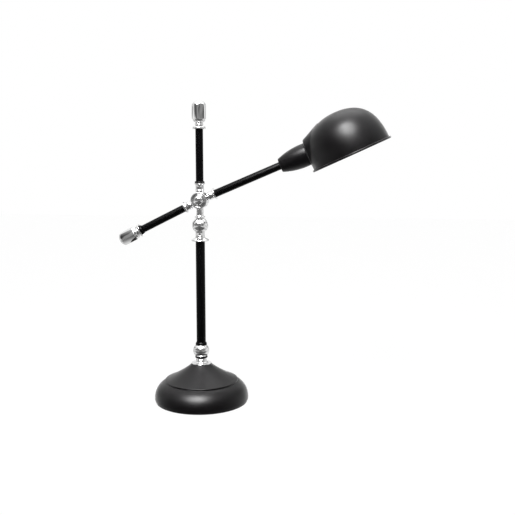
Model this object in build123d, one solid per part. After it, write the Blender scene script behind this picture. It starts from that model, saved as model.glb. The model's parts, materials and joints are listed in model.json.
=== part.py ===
from build123d import *

import math
import os

# Counterweight balance desk lamp, in millimetres. The origin is the centre of the underside of the base, on the
# axis of the post; +Z is up, and the arm that carries the shade points to +X.

# ---- fits ----
thread_gap = 0.05         # radial gap of a screwed or pressed joint
running_gap = 0.06        # radial gap round a shaft that turns
face_gap = 0.1            # gap between flat faces that turn on each other
swing_gap = 0.4           # gap between curved surfaces that turn past each other
wire_bore = 2.8           # radius of the way for the wires
spigot_reach = 11.0       # how far a spigot enters a tube
stud_radius = 4.5
stud_length = 6.5

# ---- base ----
pad_thickness = 2.4
pad_inset = 0.8           # how far the pad stays inside the shell's lower edge
shell_wall = 1.4
shell_radius = 82.6       # widest radius of the lower tier
shell_waist = 4.6         # height of that radius above the pad
shell_tuck = 1.1          # how far the lower edge turns in again
bulge_radius = 32.0       # radius of the lower tier's round shoulder
tier_radius = 63.8        # radius of the upper tier's edge
tier_step = 2.9           # height of the step between the tiers
tier_round = 1.0
groove_radius = 0.8       # of the groove at the foot of the step
crown_radius = 17.5       # flat on top that takes the flange
crown_rise = 27.5         # height of that flat above the upper tier's edge
crown_slope = 44.0        # fall of the upper tier beside the flange, in degrees
crown_pull = 10.5
skirt_slope = 22.4        # fall of the upper tier at its edge
skirt_pull = 18.4
ballast_gap = 2.5
ballast_thickness = 16.0
ballast_chamfer = 2.0
ballast_boss = 13.0
pocket_radius = 14.0
pocket_depth = 13.0
channel_width = 12.0      # way for the cord under the ballast
channel_depth = 12.5
nipple_radius = 5.0
nipple_tip = 1.0          # how far the nipple stands past its nuts
base_nut_width = 17.0
base_nut_thickness = 6.0
base_washer_radius = 11.5
base_washer_thickness = 1.5
grommet_height = 9.5      # of its axis above the table
grommet_radius = 4.8
grommet_lip = 1.7
grommet_lip_thickness = 1.6
grommet_bore = 3.2

# ---- base flange and swivel ----
gasket_thickness = 0.8
flange_inset = 0.25       # how far the chrome flange stays inside the gasket
flange_edge = 1.3
flange_height = 10.4
flange_neck = 8.7
flange_bead = 9.65
washer_radius = 10.75
washer_thickness = 3.4
base_ball_radius = 14.15
base_ball_flat = 10.2     # radius of the flat on top of the base ball
swivel_floor = 4.7        # thickness of the ledge that the swivel nut holds down
swivel_nut_radius = 6.5
swivel_nut_thickness = 4.6

# ---- lower post ----
tube_wall = 1.0
post_radius = 8.0
post_length = 184.0
post_ring = 1.85          # how far the end ring stands out from the tube
post_ring_height = 5.2
cap_radius = 15.3
cap_edge = 2.2
cap_edge_round = 0.6
cap_cone = 3.4            # height of the cone above the cap's edge
collar_radius = 8.1
collar_height = 11.2
collar_foot_flare = 0.5
collar_groove = 0.4
mast_nipple_radius = 4.0
upper_ball_radius = 13.9
upper_ball_seat = 9.6     # radius of the ball where it meets its lip
upper_ball_neck = 6.3     # radius of the ball's flat top
lower_ferrule_radius = 6.1
lower_ferrule_flare = 9.15
lower_ferrule_foot = 1.4  # height of its neck, and of its flared edge
lower_ferrule_height = 14.6
lower_ferrule_cove = 4.4

# ---- hub ----
drum_radius = 14.3
drum_depth = 10.6
drum_round = 1.2
drum_wall = 2.5
drum_floor = 2.2
hub_boss = 8.0            # radius of the boss round the pivot bolt
hub_dish = 11.6           # radius of the dished front
hub_dish_depth = 1.8
friction_thickness = 0.8
stem_gap = 0.8            # gap between a drum and the other drum's stems
stem_length = 1.2         # how far a stem stands out past that gap
post_stem_radius = 7.1
arm_stem_radius = 5.5
pivot_radius = 3.0
pivot_head_radius = 5.6
pivot_head_height = 3.4
spring_radius = 6.6
spring_thickness = 0.8
spring_cone = 0.4
dome_nut_radius = 9.4
dome_nut_collar = 2.0
dome_nut_height = 7.4
dome_nut_depth = 5.0      # depth of its threaded hole

# ---- upper post and end fittings ----
slim_radius = 6.5         # radius of the upper, arm and tail tubes
slim_ring = 2.0           # how far their end rings stand out
slim_ring_height = 3.4
upper_ferrule_height = 13.0
upper_ferrule_bead = 0.7
upper_flange_radius = 9.2
flange_lip = 1.8          # thickness of a ferrule's flange
upper_length = 94.6
dish_radius = 11.1
dish_thickness = 1.2
dish_depth = 3.0
neck_radius = 6.5         # neck under a finial
neck_bead = 0.8
top_neck_height = 7.8
tail_neck_height = 3.0
finial_corner = 12.9      # radius across the finial's corners
finial_flat = 11.2        # half its width across the flats
finial_height = 36.3
finial_shoulder = 5.3
finial_foot = 9.0
finial_dome = 11.2
finial_cover = 0.5        # height over which the shoulder widens to the corners
top_finial_turn = 24.0    # how far its corners stand turned
tail_finial_turn = 19.0

# ---- arm ----
arm_rise = 23.15          # angle of the arm above the level
tail_fall = 26.7          # angle of the tail below the level
arm_ferrule_height = 13.1
arm_ferrule_radius = 7.4
arm_flange_radius = 9.8
arm_length = 121.2
tail_length = 91.0
tail_ring_height = 7.0

# ---- cup and lampholder ----
cup_length = 48.6
cup_foot_radius = 12.0
cup_middle = 17.7         # distance from the foot where the middle radius is taken
cup_middle_radius = 16.9
cup_radius = 19.2
cup_wall = 1.3
cup_corner = 1.0
head_nut_width = 14.0
head_nut_thickness = 4.0
head_washer_radius = 8.0
head_washer_thickness = 1.0
holder_rim = 1.3
holder_seat = 3.0
holder_gap = 0.9
holder_depth = 17.0
holder_tail_radius = 11.6
holder_tail_length = 12.0
holder_floor = 5.0
barrel_radius = 16.2
barrel_length = 14.0
shell_bore = 13.3
shell_sheet = 0.5
shell_length = 21.0
contact_radius = 4.2
contact_thickness = 0.8
shade_ring_radius = 18.0
shade_ring_height = 5.0
shade_ring_chamfer = 0.8

# ---- shade ----
shade_wall = 1.2
shade_radius = 67.3
shade_height = 76.2
dome_rise_pull = 52.6     # how far up the wall stays steep
dome_crown_pull = 44.0    # how far out the crown stays flat
rim_bead = 1.7            # radius of the rolled rim's section
rim_bead_offset = 1.0
shade_reach = 66.8        # from the neck's end to the middle of the rim
shade_drop = 31.1         # how far the rim's middle lies under the arm's axis
shade_pitch = 1.3         # how much steeper the rim stands than the arm
mouth_radius = 22.2
mouth_rise = 1.8          # how far the neck's mouth lies above the arm's axis
mouth_corner = 2.4
neck_overlap = 0.2        # how far the neck's root stays inside the dome

# ---- bulb ----
bulb_radius = 22.5
bulb_neck = 13.0
bulb_rise = 26.0          # from the cap to the middle of the globe
bulb_wall = 1.0
bulb_cap_radius = 13.05
bulb_cap_length = 24.0
bulb_cap_sheet = 0.4
bulb_contact_radius = 4.6
bulb_contact_height = 1.6


# ---- helpers ----
def outline(start, *steps):
    """A closed face of (radius, height) points. A step is a point for a line, a list of two points for an arc
    through the first, or a list of three for a curve pulled by the first two."""
    edges = []
    pen = start
    for step in steps:
        if isinstance(step, tuple):
            edges.append(Line(pen, step))
            pen = step
        elif len(step) == 2:
            edges.append(ThreePointArc(pen, *step))
            pen = step[-1]
        else:
            edges.append(Bezier(pen, *step))
            pen = step[-1]
    edges.append(Line(pen, start))
    return make_face(edges)


def turned(start, *steps):
    """A solid turned about Z from an outline."""
    return revolve(Plane.XZ * outline(start, *steps), Axis.Z)


def ring(inner, outer, low, high):
    """A plain ring about Z."""
    return turned((inner, low), (outer, low), (outer, high), (inner, high))


def rod(radius, low, high):
    """A plain rod about Z."""
    return Pos(0, 0, low) * Cylinder(radius, high - low, align=(Align.CENTER, Align.CENTER, Align.MIN))


def hex_nut(width, thickness, bore, low):
    """A hexagon nut with both faces chamfered at its corners."""
    corner = width / math.sqrt(3)
    chamfer = corner - width / 2
    prism = Pos(0, 0, low) * extrude(RegularPolygon(corner, 6), thickness)
    high = low + thickness
    chamfered = turned((bore, low), (width / 2, low), (corner, low + chamfer), (corner, high - chamfer),
                       (width / 2, high), (bore, high))
    return prism & chamfered


def drop(radius, chord):
    """Distance from a ball's middle to the flat whose radius is chord."""
    return math.sqrt(radius ** 2 - chord ** 2)


def polar(distance, degrees):
    """The step of a pull of that length, at that angle from the level."""
    return distance * math.cos(math.radians(degrees)), distance * math.sin(math.radians(degrees))


# ---- heights of the base, from the table up ----
bulge_middle = shell_radius - bulge_radius
waist_height = pad_thickness + shell_waist
ledge_height = waist_height + drop(bulge_radius, tier_radius - bulge_middle)
tier_top = ledge_height + tier_step
shell_top = tier_top + crown_rise
flange_foot = shell_top + gasket_thickness
washer_foot = flange_foot + flange_height
washer_top = washer_foot + washer_thickness
ballast_top = pad_thickness + ballast_thickness
ballast_radius = bulge_middle + drop(bulge_radius - shell_wall, ballast_top - waist_height) - ballast_gap
pocket_top = pad_thickness + pocket_depth
base_nut_top = pocket_top - base_washer_thickness


def shell_body(inset):
    """The base's form as a solid, moved in by inset: flat crown, hollow slope, step and round lower tier."""
    top = shell_top - inset
    crown = crown_radius - inset * math.tan(math.radians(crown_slope / 2))
    side = tier_radius - inset
    ledge = waist_height + drop(bulge_radius - inset, side - bulge_middle)
    fall = polar(crown_pull, -crown_slope)
    skirt = polar(skirt_pull, -skirt_slope)
    edge = polar(inset, -90 - skirt_slope)
    skirt_end = (tier_radius - tier_round + edge[0], tier_top + edge[1])
    slope = [(crown + fall[0], top + fall[1]), (skirt_end[0] - skirt[0], skirt_end[1] - skirt[1]), skirt_end]
    steps = [(0, top), (crown, top), slope]
    if inset < tier_round:
        corner = tier_round * (1 - math.sqrt(0.5))
        steps.append([(side - corner, tier_top - corner), (side, tier_top - tier_round)])
    shoulder = polar(bulge_radius - inset, 45)
    widest = shell_radius - inset
    steps.append((side, ledge))
    steps.append([(bulge_middle + shoulder[0], waist_height + shoulder[1]), (widest, waist_height)])
    tucked = waist_height - shell_waist / 2
    steps.append([(widest - shell_tuck / 4, tucked), (widest - shell_tuck, pad_thickness)])
    return turned((0, pad_thickness), *steps)


def grommet_rod(radius, low, high):
    """A rod through the back of the shell, on the axis of the cord's way in."""
    return Pos(0, 0, grommet_height) * Rot(-90, 0, 0) * rod(radius, low, high)


def base_parts():
    """Everything that stands still: pad, shell, ballast and the hollow nipple that clamps them."""
    pad = rod(shell_radius - shell_tuck - pad_inset, 0, pad_thickness)
    groove = revolve(Plane.XZ * Pos(tier_radius, ledge_height) * Circle(groove_radius), Axis.Z)
    nipple_hole = rod(nipple_radius + thread_gap, pad_thickness, shell_top)
    plain_shell = shell_body(0) - shell_body(shell_wall) - groove - nipple_hole
    lip_radius = grommet_radius + grommet_lip
    outside = shell_radius + grommet_lip_thickness
    inside = shell_radius - shell_wall - grommet_lip_thickness
    shell = plain_shell - grommet_rod(grommet_radius + thread_gap, inside, outside)
    grommet = grommet_rod(lip_radius, inside, outside) - plain_shell
    grommet = grommet + grommet_rod(grommet_radius, inside, outside)
    grommet = grommet - grommet_rod(grommet_bore, 0, outside + 1)
    edge = ballast_radius - ballast_chamfer
    ballast = turned(
        (nipple_radius + thread_gap, pocket_top),
        (pocket_radius, pocket_top),
        (pocket_radius, pad_thickness),
        (edge, pad_thickness),
        (ballast_radius, pad_thickness + ballast_chamfer),
        (ballast_radius, ballast_top - ballast_chamfer),
        (edge, ballast_top),
        (ballast_boss + ballast_chamfer, ballast_top),
        (ballast_boss, ballast_top + ballast_chamfer),
        (ballast_boss, shell_top - shell_wall),
        (nipple_radius + thread_gap, shell_top - shell_wall),
    )
    channel = Pos(0, pocket_radius - ballast_chamfer, pad_thickness) * Box(
        channel_width, ballast_radius, channel_depth, align=(Align.CENTER, Align.MIN, Align.MIN))
    washer = ring(nipple_radius + thread_gap, base_washer_radius, base_nut_top, pocket_top)
    nut_foot = base_nut_top - base_nut_thickness
    nut = hex_nut(base_nut_width, base_nut_thickness, nipple_radius + thread_gap, nut_foot)
    return {
        "base_pad": pad,
        "base_shell": shell,
        "cord_grommet": grommet,
        "base_ballast": ballast - channel,
        "base_washer": washer,
        "base_nut": nut,
    }


ball_foot = washer_top + face_gap
ball_middle = ball_foot + drop(base_ball_radius, washer_radius)
ball_top = ball_middle + drop(base_ball_radius, base_ball_flat)
swivel_ledge = ball_foot + swivel_floor
swivel_nut_top = swivel_ledge + face_gap + swivel_nut_thickness
nipple_top = swivel_nut_top + nipple_tip
post_bore = post_radius - tube_wall


def swivel_parts():
    """The chrome flange, the dark washer that the mast turns on, and the nut that holds the mast down."""
    bore = nipple_radius + thread_gap
    flange_radius = crown_radius - flange_inset
    edge_top = flange_foot + flange_edge
    bead_foot = washer_foot - 0.6 * flange_height
    bead_top = washer_foot - 0.2 * flange_height
    bead_middle = (bead_foot + bead_top) / 2
    flange = turned(
        (bore, flange_foot),
        (flange_radius, flange_foot),
        (flange_radius, edge_top),
        [(flange_neck + 3.6, edge_top), (flange_neck + 0.4, edge_top), (flange_neck, bead_foot)],
        [(flange_bead, bead_middle), (flange_neck, bead_top)],
        (flange_neck, washer_foot),
        (bore, washer_foot),
    )
    gasket = ring(bore, crown_radius, shell_top, flange_foot)
    washer = turned(
        (bore, washer_foot),
        (washer_radius - flange_inset, washer_foot),
        (washer_radius, washer_foot + flange_inset),
        (washer_radius, washer_top - flange_inset),
        (washer_radius - flange_inset, washer_top),
        (bore, washer_top),
    )
    nipple = ring(wire_bore, nipple_radius, base_nut_top - base_nut_thickness - nipple_tip, nipple_top)
    nut = ring(bore, swivel_nut_radius, swivel_ledge + face_gap, swivel_nut_top)
    return {
        "base_gasket": gasket,
        "base_flange": flange,
        "swivel_washer": washer,
        "base_nipple": nipple,
        "swivel_nut": nut,
    }


post_top = ball_top + post_length
cap_top = post_top + cap_edge + cap_cone + collar_height
upper_ball_middle = cap_top + drop(upper_ball_radius, upper_ball_seat)
upper_ball_top = upper_ball_middle + drop(upper_ball_radius, upper_ball_neck)
ferrule_top = upper_ball_top + lower_ferrule_height
stem_end = drum_radius + stem_gap + stem_length
hub_height = ferrule_top + stem_end


def end_ring(tube_radius, stand_out, height):
    """A ring round the end of a tube, standing on its wider side."""
    outer = tube_radius + stand_out
    bore = tube_radius + thread_gap
    return turned(
        (bore, 0),
        (outer - stand_out / 3, 0),
        [(outer, height * 0.4), (outer - stand_out / 3, height * 0.8)],
        (bore + stand_out / 4, height),
        (bore, height),
    )


def lower_post_parts():
    """The ball that turns on the base, the lower tube, and the turned fittings up to the hub."""
    ball = turned(
        (nipple_radius + running_gap, ball_foot),
        (washer_radius, ball_foot),
        [(base_ball_radius, ball_middle), (base_ball_flat, ball_top)],
        (post_bore, ball_top),
        (post_bore, swivel_ledge),
        (nipple_radius + running_gap, swivel_ledge),
    )
    spigot = ring(stud_radius, post_bore - thread_gap, nipple_top + nipple_tip, ball_top + spigot_reach)
    tube = ring(post_bore, post_radius, ball_top, post_top)
    bore = mast_nipple_radius + thread_gap
    rim_top = post_top + cap_edge
    collar_foot = rim_top + cap_cone
    flare = collar_radius + collar_foot_flare
    groove_low = collar_foot + collar_height / 3
    groove_high = groove_low + 3 * collar_groove
    cap = turned(
        (bore, post_top - spigot_reach),
        (post_bore - thread_gap, post_top - spigot_reach),
        (post_bore - thread_gap, post_top),
        (cap_radius - cap_edge_round, post_top),
        (cap_radius, post_top + cap_edge_round),
        (cap_radius, rim_top - cap_edge_round),
        (cap_radius - cap_edge_round, rim_top),
        (flare, collar_foot),
        (flare, collar_foot + collar_foot_flare),
        [(collar_radius, groove_low - collar_groove), (collar_radius, groove_low - collar_groove), (
            collar_radius, groove_low)],
        [(collar_radius - collar_groove, (groove_low + groove_high) / 2), (collar_radius, groove_high)],
        (collar_radius, cap_top),
        (bore, cap_top),
    )
    nipple_end = upper_ball_top + stud_length
    nipple = ring(wire_bore, mast_nipple_radius, post_top - spigot_reach, nipple_end)
    upper_ball = turned(
        (bore, cap_top),
        (upper_ball_seat, cap_top),
        [(upper_ball_radius, upper_ball_middle), (upper_ball_neck, upper_ball_top)],
        (bore, upper_ball_top),
    )
    flare_foot = upper_ball_top + lower_ferrule_foot
    flare_top = flare_foot + lower_ferrule_foot
    cove_top = flare_top + lower_ferrule_cove
    ferrule = turned(
        (bore, upper_ball_top),
        (upper_ball_neck, upper_ball_top),
        (upper_ball_neck, flare_foot),
        (lower_ferrule_flare, flare_foot),
        (lower_ferrule_flare, flare_top),
        [(lower_ferrule_radius + 1, flare_top + 0.4), (lower_ferrule_radius, flare_top + 1.6), (
            lower_ferrule_radius, cove_top)],
        (lower_ferrule_radius, ferrule_top),
        (stud_radius + thread_gap, ferrule_top),
        (stud_radius + thread_gap, ferrule_top - stud_length),
        (wire_bore, ferrule_top - stud_length),
        (wire_bore, nipple_end),
        (bore, nipple_end),
    )
    return {
        "base_ball": ball,
        "lower_end_ring": Pos(0, 0, ball_top) * end_ring(post_radius, post_ring, post_ring_height),
        "lower_spigot": spigot,
        "lower_tube": tube,
        "post_cap": cap,
        "mast_nipple": nipple,
        "upper_ball": upper_ball,
        "lower_ferrule": ferrule,
    }


# ---- where the sub-assemblies lie: each has its own Z along its axis ----
hub_place = Pos(0, 0, hub_height)
up_place = hub_place
down_place = hub_place * Rot(180, 0, 0)
arm_place = hub_place * Rot(0, 90 - arm_rise, 0)
tail_place = hub_place * Rot(0, -90 - tail_fall, 0)
pivot_place = hub_place * Rot(90, 0, 0)
drum_back = friction_thickness / 2
drum_front = drum_back + drum_depth
dish_floor = drum_front - hub_dish_depth
chamber_radius = drum_radius - drum_wall


def drum(bore, face_outline):
    """Half of the hub: a drum with a chamber for the wires round the boss, its open face at drum_back."""
    chamber_floor = dish_floor - drum_floor
    rounded = drum_round * (1 - math.sqrt(0.5))
    return turned(
        (bore, drum_back),
        (hub_boss, drum_back),
        (hub_boss, chamber_floor),
        (chamber_radius, chamber_floor),
        (chamber_radius, drum_back),
        (drum_radius, drum_back),
        (drum_radius, drum_front - drum_round),
        [(drum_radius - rounded, drum_front - rounded), (drum_radius - drum_round, drum_front)],
        *face_outline,
    )


def stem(radius):
    """A round stem from a drum's rim, with the threaded stud that takes a ferrule, along Z."""
    return rod(radius, chamber_radius, stem_end) + rod(stud_radius, stem_end, stem_end + stud_length)


def hub_half(solid, places, radii):
    """A drum with its stems, cleared where the other drum turns and bored for the wires."""
    for place, radius in zip(places, radii):
        solid = solid + place * stem(radius)
    return solid


def hub_parts():
    """The two drums that face each other, with the bolt, washers and domed nut that clamp them."""
    front = pivot_place * drum(pivot_radius + thread_gap, [
        (hub_dish, drum_front),
        (hub_dish - 0.4, dish_floor),
        (pivot_radius + thread_gap, dish_floor),
    ])
    back_drum = drum(pivot_radius + running_gap, [(pivot_radius + running_gap, drum_front)])
    back = pivot_place * Rot(180, 0, 0) * back_drum
    sweep = rod(drum_radius + stem_gap, -drum_back, drum_front + drum_depth)
    post_hub = hub_half(front, (up_place, down_place), (post_stem_radius, lower_ferrule_radius))
    post_hub = post_hub - pivot_place * Rot(180, 0, 0) * sweep
    arm_hub = hub_half(back, (arm_place, tail_place), (arm_stem_radius, arm_stem_radius))
    arm_hub = arm_hub - pivot_place * sweep
    way = rod(wire_bore, hub_boss + wire_bore / 2, stem_end + 2 * stud_length)
    for place in (up_place, down_place):
        post_hub = post_hub - place * way
    for place in (arm_place, tail_place):
        arm_hub = arm_hub - place * way
    spring_top = -drum_front - face_gap
    spring_foot = spring_top - spring_thickness - spring_cone
    bolt = rod(pivot_radius, spring_foot, dish_floor + dome_nut_depth - nipple_tip)
    head_low = spring_foot - pivot_head_height
    bolt = bolt + hex_nut(2 * pivot_head_radius, pivot_head_height, 0, head_low)
    spring = turned(
        (pivot_radius + thread_gap, spring_foot),
        (spring_radius, spring_foot + spring_cone),
        (spring_radius, spring_top),
        (pivot_radius + thread_gap, spring_top - spring_cone),
    )
    collar_top = dish_floor + dome_nut_collar
    nut_top = dish_floor + dome_nut_height
    nut = turned(
        (pivot_radius + thread_gap, dish_floor),
        (dome_nut_radius, dish_floor),
        (dome_nut_radius, collar_top),
        (dome_nut_radius - 1.2, collar_top),
        [(dome_nut_radius - 1.2, nut_top - 1), (dome_nut_radius / 2, nut_top), (0, nut_top)],
        (0, dish_floor + dome_nut_depth),
        (pivot_radius + thread_gap, dish_floor + dome_nut_depth),
    )
    washer = ring(pivot_radius + thread_gap, hub_boss, face_gap - drum_back, drum_back)
    return {
        "post_hub": post_hub,
        "arm_hub": arm_hub,
        "pivot_bolt": pivot_place * bolt,
        "spring_washer": pivot_place * spring,
        "friction_washer": pivot_place * washer,
        "pivot_nut": pivot_place * nut,
    }


slim_bore = slim_radius - tube_wall


def ferrule(height, body, bead, flange):
    """A turned ferrule from a stem's end to a tube, with a beaded body, a coved flange and a spigot."""
    low = stem_end
    high = stem_end + height
    flange_low = high - flange_lip
    return turned(
        (stud_radius + thread_gap, low),
        (body, low),
        (body, low + bead),
        [(body + bead, low + 2 * bead), (body, low + 3 * bead)],
        (body, low + height / 2),
        [(body, flange_low - bead), (body + bead, flange_low), (flange, flange_low)],
        (flange, high),
        (slim_bore - thread_gap, high),
        (slim_bore - thread_gap, high + spigot_reach),
        (wire_bore, high + spigot_reach),
        (wire_bore, low + stud_length),
        (stud_radius + thread_gap, low + stud_length),
    )


def arm_ferrule():
    """The ferrule of the arm and of the tail: waisted at the stem, then a soft barrel and a flange."""
    low = stem_end
    high = stem_end + arm_ferrule_height
    flange_low = high - flange_lip
    barrel = arm_ferrule_radius
    return turned(
        (stud_radius + thread_gap, low),
        (arm_stem_radius, low),
        (barrel - 0.6, low + 0.8),
        [(barrel, low + 4), (barrel - 0.4, low + 7)],
        [(barrel - 0.6, flange_low - 1), (barrel + 0.4, flange_low), (arm_flange_radius, flange_low)],
        (arm_flange_radius, high),
        (slim_bore - thread_gap, high),
        (slim_bore - thread_gap, high + spigot_reach),
        (wire_bore, high + spigot_reach),
        (wire_bore, low + stud_length),
        (stud_radius + thread_gap, low + stud_length),
    )


def dish():
    """The dished chrome washer round the end ring, from the end of the tube at z = 0."""
    bore = slim_bore
    rim = dish_radius - dish_thickness / 2
    inner = slim_radius + slim_ring + swing_gap
    return turned(
        (bore, 0),
        (inner, 0),
        (rim, -dish_depth),
        (dish_radius, -dish_depth),
        [(dish_radius, 0), (inner, dish_thickness), (inner - dish_thickness, dish_thickness)],
        (bore, dish_thickness),
    )


def finial(neck):
    """The six-sided finial: stud in the tube's end, beaded neck, round foot, then six panels under a dome."""
    foot = neck
    top = neck + finial_height
    shoulder = foot + finial_shoulder
    bead = neck_radius + neck_bead
    bead_low = dish_thickness + (neck - dish_thickness) * 0.3
    bead_high = dish_thickness + (neck - dish_thickness) * 0.8
    round_body = turned(
        (0, -spigot_reach),
        (slim_bore - thread_gap, -spigot_reach),
        (slim_bore - thread_gap, dish_thickness),
        (neck_radius, dish_thickness),
        (neck_radius, bead_low),
        [(bead, (bead_low + bead_high) / 2), (neck_radius, bead_high)],
        (neck_radius, foot),
        [(finial_foot, foot + finial_shoulder * 0.2), (finial_flat - 0.8, foot + finial_shoulder * 0.5)],
        (finial_flat - 0.8, foot + finial_shoulder * 0.7),
        (finial_flat, shoulder),
        (finial_corner, shoulder + finial_cover),
        (finial_corner, top - finial_dome),
        [(finial_corner, top - finial_dome * 0.45), (finial_corner * 0.6, top), (0, top)],
    )
    prism = extrude(RegularPolygon(finial_flat, 6, major_radius=False), top)
    below = rod(finial_corner, -spigot_reach, shoulder)
    return round_body & (Pos(0, 0, shoulder) * prism + below)


upper_foot = stem_end + upper_ferrule_height
upper_end = upper_foot + upper_length
arm_foot = stem_end + arm_ferrule_height
arm_end = arm_foot + arm_length
tail_end = arm_foot + tail_length


def tube_end(end, ring_height, neck, turn):
    """End ring, dish and finial at the end of a slim tube, on that tube's own axis."""
    place = Pos(0, 0, end)
    closing_ring = place * Rot(180, 0, 0) * end_ring(slim_radius, slim_ring, ring_height)
    return closing_ring, place * dish(), place * Rot(0, 0, turn) * finial(neck)


def upper_post_parts():
    """The upper tube with its ferrule, end rings and finial."""
    closing_ring, flange, knob = tube_end(upper_end, slim_ring_height, top_neck_height, top_finial_turn)
    foot_ring = Pos(0, 0, upper_foot) * end_ring(slim_radius, slim_ring, slim_ring_height)
    return {
        "upper_ferrule": up_place * ferrule(
            upper_ferrule_height, post_stem_radius, upper_ferrule_bead, upper_flange_radius),
        "upper_foot_ring": up_place * foot_ring,
        "upper_tube": up_place * ring(slim_bore, slim_radius, upper_foot, upper_end),
        "upper_end_ring": up_place * closing_ring,
        "top_flange": up_place * flange,
        "top_finial": up_place * knob,
    }


cup_foot = arm_end + face_gap
cup_end = cup_foot + cup_length
neck_end = cup_end + holder_rim


def arm_parts():
    """The arm, the tail with its counterweight, and the nipple and nut that the cup turns on."""
    closing_ring, flange, knob = tube_end(tail_end, tail_ring_height, tail_neck_height, tail_finial_turn)
    washer_low = cup_foot + cup_wall + face_gap
    washer_high = washer_low + head_washer_thickness
    nipple_high = washer_high + head_nut_thickness + nipple_tip
    nipple = turned(
        (wire_bore, arm_end - spigot_reach),
        (slim_bore - thread_gap, arm_end - spigot_reach),
        (slim_bore - thread_gap, arm_end),
        (stud_radius, arm_end),
        (stud_radius, nipple_high),
        (wire_bore, nipple_high),
    )
    bore = stud_radius + thread_gap
    return {
        "front_ferrule": arm_place * arm_ferrule(),
        "arm_tube": arm_place * ring(slim_bore, slim_radius, arm_foot, arm_end),
        "head_nipple": arm_place * nipple,
        "head_washer": arm_place * ring(bore, head_washer_radius, washer_low, washer_high),
        "head_nut": arm_place * hex_nut(head_nut_width, head_nut_thickness, bore, washer_high),
        "tail_ferrule": tail_place * arm_ferrule(),
        "tail_tube": tail_place * ring(slim_bore, slim_radius, arm_foot, tail_end),
        "tail_end_ring": tail_place * closing_ring,
        "tail_flange": tail_place * flange,
        "tail_counterweight": tail_place * knob,
    }


def cup_parts():
    """The socket cup and the lampholder inside it."""
    inside = cup_foot + cup_wall
    cup = turned(
        (stud_radius + running_gap, cup_foot),
        (cup_foot_radius - cup_corner, cup_foot),
        (cup_foot_radius, cup_foot + cup_corner),
        [(cup_middle_radius, cup_foot + cup_middle), (cup_radius, cup_end)],
        (cup_radius - cup_wall, cup_end),
        [(cup_middle_radius - cup_wall, cup_foot + cup_middle), (cup_foot_radius - cup_wall, inside)],
        (stud_radius + running_gap, inside),
    )
    body = cup_radius - cup_wall - holder_gap
    back = cup_end - holder_depth
    tail = back - holder_tail_length
    mouth = neck_end + barrel_length
    bore = shell_bore + shell_sheet + thread_gap
    floor = back + holder_floor
    holder = turned(
        (0, tail),
        (holder_tail_radius, tail),
        (holder_tail_radius, back),
        (body, back),
        (body, cup_end - holder_seat),
        (cup_radius - cup_wall - thread_gap, cup_end - holder_seat),
        (cup_radius - cup_wall - thread_gap, cup_end),
        (cup_radius, cup_end),
        (cup_radius, neck_end),
        (barrel_radius, neck_end),
        (barrel_radius, mouth),
        (bore, mouth),
        (bore, floor),
        (0, floor),
    )
    screw_shell = ring(shell_bore, shell_bore + shell_sheet, floor, floor + shell_length)
    contact_top = floor + contact_thickness
    contact = rod(contact_radius, floor, contact_top)
    cap_foot = contact_top + bulb_contact_height
    cap_top = cap_foot + bulb_cap_length
    inner_cap = bulb_cap_radius - bulb_cap_sheet
    bulb_cap = turned(
        (0, cap_foot),
        (bulb_contact_radius, cap_foot),
        (bulb_cap_radius, cap_foot + bulb_contact_height),
        (bulb_cap_radius, cap_top),
        (inner_cap, cap_top),
        (inner_cap, cap_foot + bulb_contact_height),
        (0, cap_foot + bulb_cap_sheet),
    )
    globe_middle = cap_top + bulb_rise
    glass = globe(0, cap_top, globe_middle) - globe(bulb_wall, cap_top + bulb_wall, globe_middle)
    return {
        "socket_cup": arm_place * cup,
        "lampholder": arm_place * holder,
        "lampholder_shell": arm_place * screw_shell,
        "lampholder_contact": arm_place * contact,
        "bulb_contact": arm_place * rod(bulb_contact_radius, contact_top, cap_foot),
        "bulb_cap": arm_place * bulb_cap,
        "bulb_glass": arm_place * glass,
    }


def globe(inset, low, middle):
    """The bulb's glass as a solid, moved in by inset."""
    neck = bulb_neck - inset
    radius = bulb_radius - inset
    side = polar(radius, 45)
    return turned(
        (0, low),
        (neck, low),
        [(neck, low + bulb_rise * 0.25), (radius, middle - radius * 0.55), (radius, middle)],
        [(side[0], middle + side[1]), (0, middle + radius)],
    )


# ---- shade: a dome on the rim's plane, with a neck on the arm's axis ----
rim_place = arm_place * Pos(shade_drop, 0, neck_end + shade_reach) * Rot(0, -90 - shade_pitch, 0)


def dome(inset, low):
    """The dome as a solid on the rim's plane: a wall that leans in slowly, and a broad crown."""
    radius = shade_radius - inset
    height = shade_height - inset
    steps = [(radius, 0), [(radius, dome_rise_pull), (dome_crown_pull, height), (0, height)]]
    if low == 0:
        return turned((0, 0), *steps)
    return turned((0, low), (radius, low), *steps)


def neck_root():
    """Where the neck's upper line touches the dome: the distance from the neck's end and the height above the
    arm's axis of the point of the dome that is seen highest from the top of the neck's mouth."""
    lean = math.radians(shade_pitch)
    mouth_top = mouth_rise + mouth_radius
    best = (0, 0, -1)
    for step in range(1, 200):
        share = step / 200
        rest = 1 - share
        wall_share = rest ** 3 + 3 * rest ** 2 * share
        crown_share = 3 * rest * share ** 2
        out = wall_share * shade_radius + crown_share * dome_crown_pull
        rise = 3 * rest ** 2 * share * dome_rise_pull + (crown_share + share ** 3) * shade_height
        along = shade_reach - out * math.cos(lean) - rise * math.sin(lean)
        above = rise * math.cos(lean) - out * math.sin(lean) - shade_drop
        slope = (above - mouth_top) / along if along > 0 else -1
        if slope > best[2]:
            best = (along, above, slope)
    return best[0], best[1]


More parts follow.
